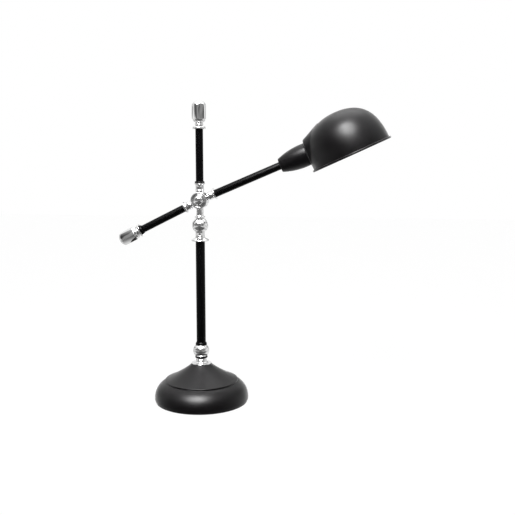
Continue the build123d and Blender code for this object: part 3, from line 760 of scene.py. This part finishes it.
@dataclass
class EndFitting(Assembly):
    """The dished washer and six-sided finial at a slim tube's end."""

    place: Matrix
    end: float
    neck: float
    turned: float
    body: Body
    flange_name: str
    finial_name: str
    height: float = 36.3
    shoulder: float = 5.3
    flat: float = 11.2
    corner: float = 12.9
    dome: float = 11.2
    half_panel: float = 13.0
    soft: float = 0.5
    bow: float = 0.35

    def flange(self) -> Piece:
        """The dished washer, its rim leaning back over the end ring."""
        path = Section(5.5, 0.0).line((8.9, 0.0), (10.5, -3.0))
        path.arc((10.85, -3.2), (11.1, -3.0), 6)
        path.curve((11.1, 0.4), (9.9, 1.2), (7.7, 1.2), 14)
        path.line((5.5, 1.2))
        return lathe(f"{self.flange_name}_spun", path, self.place @ shift(0, 0, self.end), corner=0.2)

    def finial(self) -> Piece:
        """The finial: a beaded neck and round foot, then six panels under a dome.

        Above the shoulder the radius is the softer lesser of the round outline and the hexagon's
        flat / cos(a), a being the angle from the middle of the nearest panel. Each panel bows out a little: its
        edges lie back by bow * (tan(a) / tan(30 degrees)) ** 2, and its ends by bow * (height from the middle) ** 2.
        """
        neck, top = self.neck, self.neck + self.height
        shoulder = neck + self.shoulder
        low, high = 1.2 + (neck - 1.2) * 0.3, 1.2 + (neck - 1.2) * 0.8
        path = Section(0.0, 1.2).line((6.5, 1.2), (6.5, low))
        path.arc((7.3, (low + high) / 2), (6.5, high), 10)
        path.line((6.5, neck))
        path.arc((9.0, neck + 1.06), (10.4, neck + 2.65), 10)
        path.line((10.4, neck + 3.7), (self.flat, shoulder),
                  *((self.corner, shoulder + rise) for rise in (0.5, 4.0, 12.0)))
        span = np.linspace(0.0, math.pi / 2, 33)
        path.line(*zip(self.corner * np.cos(span), top - self.dome + self.dome * np.sin(span)))

        def hexagon(radius: Array, height: Array, angle: Array) -> Array:
            """The softer lesser of the outline's radius and the hexagon's."""
            panel = (angle - math.radians(self.turned)) % (math.pi / 3) - math.pi / 6
            bowed = (np.tan(panel) / math.tan(math.pi / 6)) ** 2 + ((height - shoulder) / self.half_panel - 1.0) ** 2
            limit = np.where(height > shoulder - 0.01, self.flat / np.cos(panel) - self.bow * bowed, np.inf)
            near = np.maximum(1.0 - np.abs(radius - limit) / self.soft, 0.0)
            return np.minimum(radius, limit) - self.soft * near * near / 4

        return lathe(f"{self.finial_name}_cut", path, self.place @ shift(0, 0, self.end), 240, 0.2, False, hexagon)

    def build(self) -> None:
        """Builds and dresses the fitting."""
        self.put(self.body, Finish.CHROME, **{self.flange_name: self.flange(), self.finial_name: self.finial()})


@dataclass
class UpperPost(Assembly):
    """The upper tube with its ferrule, end rings and finial."""

    finial_neck: float = 7.8
    finial_turn: float = 24.0

    def ferrule(self) -> Piece:
        """The ferrule over the hub: a beaded body and a coved flange."""
        low, high = STEM_END, UPPER_START
        flange = high - 1.8
        path = Section(SLIM_BORE, low).line((7.1, low), (7.1, low + 0.7))
        path.arc((7.8, low + 1.4), (7.1, low + 2.1), 8)
        path.line((7.1, low + 6.5))
        path.curve((7.1, flange - 0.7), (7.8, flange), (9.2, flange), 12)
        path.line((9.2, high), (SLIM_BORE, high))
        return lathe("upper_ferrule_turned", path, HUB)

    def build(self) -> None:
        """Builds and dresses the upper post."""
        self.put(Body.MAST, Finish.CHROME, upper_ferrule=self.ferrule())
        self.put(Body.MAST, Finish.GLOSS_BLACK,
                 upper_foot_ring=end_ring("upper_foot_ring_soft", UPPER_START, SLIM_TUBE, 2.0, 3.4, HUB),
                 upper_tube=tube("upper_tube_drawn", SLIM_TUBE, UPPER_START, UPPER_END, HUB),
                 upper_end_ring=end_ring("upper_end_ring_soft", UPPER_END, SLIM_TUBE, 2.0, -3.4, HUB))
        EndFitting(HUB, UPPER_END, self.finial_neck, self.finial_turn, Body.MAST, "top_flange", "top_finial").build()


@dataclass
class Arm(Assembly):
    """The arm's and the tail's tubes, ferrules and counterweight."""

    weight_neck: float = 3.0
    weight_turn: float = 19.0

    def ferrule(self, name: str, place: Matrix) -> Piece:
        """A ferrule: waisted at the stem, a soft barrel, and a coved flange."""
        low, high = STEM_END, TUBE_START
        flange = high - 1.8
        path = Section(SLIM_BORE, low).line((5.5, low), (6.8, low + 0.8))
        path.arc((7.4, low + 4.0), (7.0, low + 7.0), 10)
        path.curve((6.8, flange - 1.0), (7.8, flange), (9.8, flange), 12)
        path.line((9.8, high), (SLIM_BORE, high))
        return lathe(name, path, place)

    def build(self) -> None:
        """Builds and dresses the arm."""
        self.put(Body.ARM, Finish.CHROME, front_ferrule=self.ferrule("front_ferrule_turned", ARM),
                 tail_ferrule=self.ferrule("tail_ferrule_turned", TAIL))
        self.put(Body.ARM, Finish.GLOSS_BLACK,
                 arm_tube=tube("arm_tube_drawn", SLIM_TUBE, TUBE_START, ARM_END, ARM),
                 tail_tube=tube("tail_tube_drawn", SLIM_TUBE, TUBE_START, TAIL_END, TAIL),
                 tail_end_ring=end_ring("tail_end_ring_soft", TAIL_END, SLIM_TUBE, 2.0, -7.0, TAIL))
        EndFitting(TAIL, TAIL_END, self.weight_neck, self.weight_turn, Body.ARM, "tail_flange",
                   "tail_counterweight").build()


@dataclass
class Shade:
    """The domed shade with its side neck and rolled rim.

    The dome stands on the rim's plane; the neck is a cone on the arm's axis from the mouth to a root inside the dome.
    """

    radius: float = 67.3
    height: float = 76.2
    steep: float = 52.6
    crown: float = 44.0
    wall: float = 1.2
    reach: float = 66.8
    fall: float = 31.1
    pitch: float = 1.3
    mouth: float = 22.2
    mouth_rise: float = 1.8
    mouth_corner: float = 2.4
    root: float = 29.55
    root_rise: float = 9.15
    root_along: float = 33.65
    bead: float = 1.7
    crease: float = 3.2
    crease_share: float = 0.6
    rim_share: float = 1.0 / 14.0
    middle: Pair = (30.0, 6.0)
    farthest: float = 260.0
    halvings: int = 46

    @property
    def rim(self) -> Matrix:
        """The rim's place: X along the rim away from the post, Z up into the dome."""
        return ARM @ shift(self.fall, 0.0, NECK_END + self.reach) @ turn(-90.0 - self.pitch, "Y")

    def dome_radius(self, height: Array, inset: float) -> Array:
        """The dome's radius at each height: a cubic curve from the steep wall to the flat crown, read at height."""
        t = np.linspace(0.0, 1.0, 4001)
        q = 1 - t
        wall, top = self.radius - inset, self.height - inset
        out = (q ** 3 + 3 * q * q * t) * wall + 3 * q * t * t * self.crown
        rise = 3 * q * q * t * self.steep + (3 * q * t * t + t ** 3) * top
        return np.interp(height, rise, out, left=wall, right=0.0)

    def way_out(self, inside: Callable[[Array], Array], start: Array, way: Array) -> Array:
        """Distance along each ray from start to the skin of a form, by halving.

        Args:
            inside: whether points are inside the form.
            start: where the rays leave, inside the form.
            way: their directions.

        Returns:
            The distances.
        """
        low, high = np.zeros(way.shape[:-1]), np.full(way.shape[:-1], self.farthest)
        for _ in range(self.halvings):
            half = (low + high) / 2
            short = inside(start + way * half[..., None])
            low, high = np.where(short, half, low), np.where(short, high, half)
        return low

    def in_dome(self, point: Array, inset: float) -> Array:
        """Whether points of the rim's frame are inside the dome."""
        across, height = np.hypot(point[..., 0], point[..., 1]), point[..., 2]
        return (across < self.dome_radius(height, inset)) & (height < self.height - inset)

    def in_neck(self, point: Array, inset: float) -> Array:
        """Whether points of the arm's frame are inside the neck's cone and its ends, with a softened corner."""
        slope = (self.root - self.mouth) / self.root_along
        lift = (self.root_rise - self.mouth_rise) / self.root_along
        along = point[..., 2] - NECK_END
        above = -point[..., 0] - (self.mouth_rise + lift * along)
        room = self.mouth - inset + slope * along - np.hypot(above, point[..., 1])
        end = np.minimum(along - inset, self.root_along - along)
        corner = self.mouth_corner
        return np.minimum(room, end) - np.maximum(corner - np.abs(room - end), 0.0) ** 2 / (4 * corner) > 0

    def sheet(self, inset: float, rows: int, columns: int) -> Array:
        """The dome and the neck as one skin, from the rim to the crown.

        Rays leave a point inside both forms. Their directions turn evenly from each point of the rim to straight up.
        Each goes as far as the farther of the two forms, at distances a and b. To round the crease it goes on by a
        share of k * log(1 + exp(-|a - b| / k)), which fades out at the rim.

        Args:
            inset: distance inside the outer skin.
            rows: directions from the rim up.
            columns: directions round the rim.

        Returns:
            Points in the rim's frame, shape (rows, columns, 3).
        """
        to_arm = np.array(ARM.inverted() @ self.rim)
        start = (np.array(self.rim.inverted() @ ARM) @ (-self.middle[1], 0.0, NECK_END + self.middle[0], 1.0))[:3]
        angle = np.linspace(0.0, math.tau, columns, endpoint=False)
        edge = (self.radius - inset) * np.stack([np.cos(angle), np.sin(angle), 0 * angle], -1) - start
        reach = np.linalg.norm(edge, axis=1)
        edge = edge / reach[:, None]
        up = np.array([0.0, 0.0, 1.0])
        swing = np.arccos(edge @ up)
        share = np.linspace(0.0, 1.0, rows)[:, None]
        way = (np.sin((1 - share) * swing) / np.sin(swing))[..., None] * edge
        way = way + (np.sin(share * swing) / np.sin(swing))[..., None] * up
        dome = self.way_out(lambda point: self.in_dome(point, inset), start, way)
        dome[0] = reach
        arm_start = (to_arm @ np.append(start, 1.0))[:3]
        neck = self.way_out(lambda point: self.in_neck(point, inset), arm_start, way @ to_arm[:3, :3].T)
        apart = np.abs(dome - neck)
        extra = self.crease * np.log1p(np.exp(-apart / self.crease)) * np.clip(share / self.rim_share, 0.0, 1.0)
        extra = np.where(apart > 6 * self.crease, 0.0, extra)
        far = np.maximum(dome, neck) + extra * self.crease_share
        return start + way * far[..., None]

    def skin(self) -> Piece:
        """The whole shade: outer skin down to the rim, round the rolled bead, and the inner skin up to the crown."""
        columns = 320
        outer = self.sheet(0.0, 150, columns)[::-1]
        inner = self.sheet(self.wall, 90, columns)
        angle = np.linspace(0.0, math.tau, columns, endpoint=False)
        roll = np.radians(np.linspace(125.0, -190.0, 22))
        out = self.radius + 1.0 + self.bead * np.cos(roll)
        up = self.bead + self.bead * np.sin(roll)
        bead = np.stack([out[:, None] * np.cos(angle), out[:, None] * np.sin(angle), up[:, None] + 0 * angle], -1)
        outer = outer[outer[:, :, 2].max(1) > self.bead * 2.0]
        grid = np.concatenate([outer, bead, inner[inner[:, :, 2].max(1) > self.bead * 1.2]])
        return surface("shade_spun", grid, True, False, self.rim)


@dataclass
class Head(Assembly):
    """The socket cup, the lampholder, the shade and the bulb."""

    knurls: int = 48
    knurl_depth: float = 0.25
    bulb_foot: float = 213.7
    bulb_middle: float = 239.7
    bulb_radius: float = 22.5

    def cup(self) -> Piece:
        """The cup: flat foot with a rounded corner, and a side on one arc to the mouth."""
        low, high = CUP_FOOT, CUP_END
        path = Section(4.56, low).line((11.0, low))
        path.arc((11.71, low + 0.29), (12.0, low + 1.0), 6)
        path.arc((16.9, low + 17.7), (19.2, high), 40)
        path.line((17.9, high))
        path.arc((15.6, low + 17.7), (10.7, low + 1.3), 32)
        path.line((4.56, low + 1.3))
        return lathe("socket_cup_spun", path, ARM, 128, 0.25)

    def holder(self) -> Piece:
        """The lampholder: body in the cup, a rim on its mouth, and a barrel into the shade."""
        back, seat, mouth = CUP_END - 17.0, CUP_END - 3.0, NECK_END + 14.0
        path = Section(0.0, back - 12.0).line((11.6, back - 12.0), (11.6, back), (17.0, back), (17.0, seat),
                                              (17.85, seat), (17.85, CUP_END), (19.2, CUP_END), (19.2, NECK_END),
                                              (16.2, NECK_END), (16.2, mouth), (13.85, mouth), (13.85, back + 5.0),
                                              (0.0, back + 5.0))
        return lathe("lampholder_moulded", path, ARM, 112, 0.35, False)

    def clamp(self) -> Piece:
        """The ring that clamps the shade, with a knurled edge: its radius waves evenly round."""
        low, high = NECK_END + 1.2, NECK_END + 6.2
        path = Section(16.25, low).line((17.2, low), (18.0, low + 0.8), (18.0, high - 0.8), (17.2, high),
                                        (16.25, high))

        def knurl(radius: Array, height: Array, angle: Array) -> Array:
            """Waves on the outer side."""
            return radius - self.knurl_depth * (radius > 17.9) * (0.5 + 0.5 * np.cos(self.knurls * angle))

        return lathe("shade_ring_knurled", path, ARM, 384, 0.2, form=knurl)

    def bulb(self) -> Piece:
        """The bulb's glass: a round globe that draws in to its neck."""
        low, middle, radius = self.bulb_foot, self.bulb_middle, self.bulb_radius
        path = Section(12.3, low).line((13.0, low))
        path.curve((13.0, low + 6.5), (radius, middle - 12.4), (radius, middle), 24)
        path.arc((radius * math.sqrt(0.5), middle + radius * math.sqrt(0.5)), (0.0, middle + radius), 36)
        return lathe("bulb_globe", path, ARM, corner=0.2, closed=False)

    def build(self) -> None:
        """Builds and dresses the head."""
        self.put(Body.HEAD, Finish.SATIN_BLACK, socket_cup=self.cup())
        self.put(Body.HEAD, Finish.PLASTIC, lampholder=self.holder(), shade_ring=self.clamp())
        self.put(Body.HEAD, Finish.SATIN_BLACK, shade=Shade().skin())
        self.put(Body.HEAD, Finish.GLASS, bulb_glass=self.bulb())


def dress_solids(frame: dict) -> None:
    """Gives every solid its slot's finish, which those that nothing stands for keep in view.

    Args:
        frame: the loaded frame.
    """
    finishes = {finish.slot: finish for finish in Finish}
    for part in frame["record"]["subparts"]:
        finish, materials = finishes[part["material_slot"]], frame["nodes"][part["node"]].data.materials
        for place in range(len(materials)):
            materials[place] = finish.material()
        if not len(materials):
            materials.append(finish.material())


# ---- studio


WHITE = (1.0, 1.0, 1.0, 1.0)


class StudioNodes(Nodes):
    """A node tree of the studio, with what its world and its floor share."""

    def ray(self, kind: str) -> Socket:
        """Whether a ray is of a kind."""
        return self.add("ShaderNodeLightPath").outputs[f"Is {kind} Ray"]

    def seen(self, most: float) -> Socket:
        """A share for rays from the camera, off a mirror and through glass, and 0 for all others."""
        total = self.ray("Camera")
        for kind in ("Glossy", "Transmission"):
            total = self.math("MAXIMUM", total, self.ray(kind))
        return self.product(total, most)

    def along(self, axis: str, start: float, end: float) -> Socket:
        """How far a place or a direction lies along an axis: 0 at start and 1 at end, with soft ends."""
        parts = self.add("ShaderNodeSeparateXYZ", {"Vector": self.place})
        return self.remap(parts.outputs[axis], start, end, soft=True)

    def blend(self, share: Socket, first: float, second: float) -> Socket:
        """A level between two by a share of the second."""
        return self.remap(share, 0.0, 1.0, first, second)


class StudioSkin(StudioNodes, Skin):
    """A material's node tree in the studio."""


@dataclass(frozen=True)
class Softbox:
    """A soft square lamp: where it hangs and what it looks at, its side, all in metres, and its power in watts."""

    name: str
    place: Triple
    aim: Triple
    side: float
    power: float

    def hang(self) -> None:
        """Adds the lamp to the scene."""
        data = bpy.data.lights.new(self.name, "AREA")
        data.shape = "RECTANGLE"
        data.size = data.size_y = self.side
        data.energy = self.power
        lamp = bpy.data.objects.new(self.name, data)
        bpy.context.scene.collection.objects.link(lamp)
        look = Vector(self.aim) - Vector(self.place)
        lamp.matrix_world = Matrix.Translation(self.place) @ look.to_track_quat("-Z", "Y").to_matrix().to_4x4()


@dataclass
class Studio:
    """Two soft lamps, the camera, and a floor and a world that are plain white to the camera.

    Only reflections see the rest of the world and the floor: soft dark patches all round, near the horizon, a darker
    front, a brighter top and the key lamp's glow, over a floor that is dark before the lamp and streaked.
    """

    key: Softbox = Softbox("key_softbox", (0.0, -1.02, 1.66), (0.1, 0.0, 0.3), 0.6, 18.0)
    top: Softbox = Softbox("top_softbox", (0.1, 0.5, 1.9), (0.05, 0.0, 0.2), 1.2, 8.0)
    camera_place: Triple = (0.2684, -1.2809, 0.4316)
    camera_turn: Triple = (82.3, 0.0, 7.5)
    lens: float = 53.1
    ambient: float = 0.45
    glow: float = 35.0
    glow_angles: Pair = (24.0, 9.0)
    low_reach: Pair = (0.65, 0.35)
    front_reach: Pair = (-0.1, -0.6)
    high_reach: Pair = (0.55, 0.9)
    front_level: float = 0.32
    high_level: float = 2.0
    patch_level: float = 0.12
    patch_scale: float = 5.0
    patch_stretch: Triple = (1.0, 1.0, 0.6)
    patch_edge: Pair = (0.46, 0.62)
    floor_reach: float = 4000.0
    floor_share: float = 0.95
    floor_level: float = 1.017
    dark_depth: Pair = (0.02, -0.12)
    dark_width: Pair = (0.9, 0.4)
    dark_level: float = 0.14
    streak_level: float = 0.4
    streak_scale: float = 4.0
    streak_stretch: Triple = (1.0, 0.25, 1.0)

    def patches(self, nodes: StudioNodes, scale: float, stretch: Triple) -> Socket:
        """Soft patches: 1 where it is dark."""
        return nodes.remap(nodes.noise(scale, 2.0, stretch), *self.patch_edge, soft=True)

    def floor(self) -> None:
        """A wide floor of an uneven pale grey, most of which gives way to a plain level wherever it is seen.

        So it is white to the camera, with the lamp's shadow faint on it.
        """
        side = np.linspace(-self.floor_reach, self.floor_reach, 9)
        grid = np.stack(np.meshgrid(side, side, [0.0], indexing="ij"), -1)[:, :, 0]
        floor = surface("floor", grid, False, False, POST)
        nodes = StudioSkin("floor_white")
        nodes.feed(nodes.shader, {"Base Color": nodes.tint(nodes.noise(3.0, 2.0), (0.88,) * 3, (0.9,) * 3),
                                  "Roughness": 0.9, "Specular IOR Level": 0.1})
        mirrored = nodes.ray("Glossy")
        right, left = (nodes.along("X", *(sign * x for x in self.dark_width)) for sign in (1, -1))
        dark = nodes.product(nodes.along("Y", *self.dark_depth), right, left, mirrored)
        streak = nodes.product(mirrored, self.patches(nodes, self.streak_scale, self.streak_stretch))
        level = nodes.product(nodes.blend(dark, self.floor_level, self.dark_level),
                              nodes.blend(streak, 1.0, self.streak_level))
        plain = nodes.add("ShaderNodeEmission", {"Strength": level}).outputs["Emission"]
        mixed = nodes.mix(nodes.seen(self.floor_share), nodes.shader.outputs["BSDF"], plain)
        nodes.feed(nodes.output, {"Surface": mixed})
        floor.data.materials.append(nodes.material)

    def level(self, nodes: StudioNodes) -> Socket:
        """The world's level by direction: 1 to the camera, and the whole studio with the key's glow to a mirror.

        Args:
            nodes: the world's node tree.

        Returns:
            The level's socket.
        """
        mirrored = nodes.ray("Glossy")
        low = nodes.product(nodes.along("Z", *self.low_reach), mirrored)
        front = nodes.product(nodes.along("Y", *self.front_reach), low)
        high = nodes.product(nodes.along("Z", *self.high_reach), mirrored)
        dark = nodes.product(low, self.patches(nodes, self.patch_scale, self.patch_stretch))
        level = nodes.product(*(nodes.blend(share, 1.0, end) for share, end in (
            (front, self.front_level), (dark, self.patch_level), (high, self.high_level))))
        to_key = (Vector(self.key.place) - Vector(self.key.aim)).normalized()
        near = nodes.add("ShaderNodeVectorMath", {0: nodes.place, 1: to_key})
        near.operation = "DOT_PRODUCT"
        edge, full = (math.cos(math.radians(angle)) for angle in self.glow_angles)
        glow = nodes.remap(near.outputs["Value"], edge, full, 0.0, self.glow, True)
        return nodes.math("ADD", level, nodes.product(glow, mirrored))

    def world(self) -> None:
        """A world that lights the lamp evenly, and shows the camera and mirrors its level."""
        world = bpy.data.worlds.new("studio")
        world.use_nodes = True
        nodes = StudioNodes(world.node_tree, "Generated")
        even, shown = (nodes.add("ShaderNodeBackground", {"Color": WHITE, "Strength": strength}).outputs[0]
                       for strength in (self.ambient, self.level(nodes)))
        nodes.add("ShaderNodeOutputWorld", {"Surface": nodes.mix(nodes.seen(1.0), even, shown)})
        bpy.context.scene.world = world

    def camera(self) -> None:
        """The camera at the photograph's place, angle and lens."""
        data = bpy.data.cameras.new("camera")
        data.lens = self.lens
        data.sensor_width = 36.0
        camera = bpy.data.objects.new("camera", data)
        bpy.context.scene.collection.objects.link(camera)
        camera.location = self.camera_place
        camera.rotation_euler = [math.radians(angle) for angle in self.camera_turn]
        bpy.context.scene.camera = camera

    def build(self) -> None:
        """Sets the studio up."""
        self.floor()
        self.world()
        self.key.hang()
        self.top.hang()
        self.camera()
        bpy.context.scene.view_settings.view_transform = "Standard"


def main() -> None:
    """Loads the frame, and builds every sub-assembly and the studio."""
    logging.basicConfig(level=logging.INFO, format="%(name)s: %(message)s")
    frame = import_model()
    dress_solids(frame)
    for assembly in (Base(), LowerPost(), Hub(), UpperPost(), Arm(), Head()):
        assembly.build()
    Studio().build()


if __name__ == "__main__":
    main()
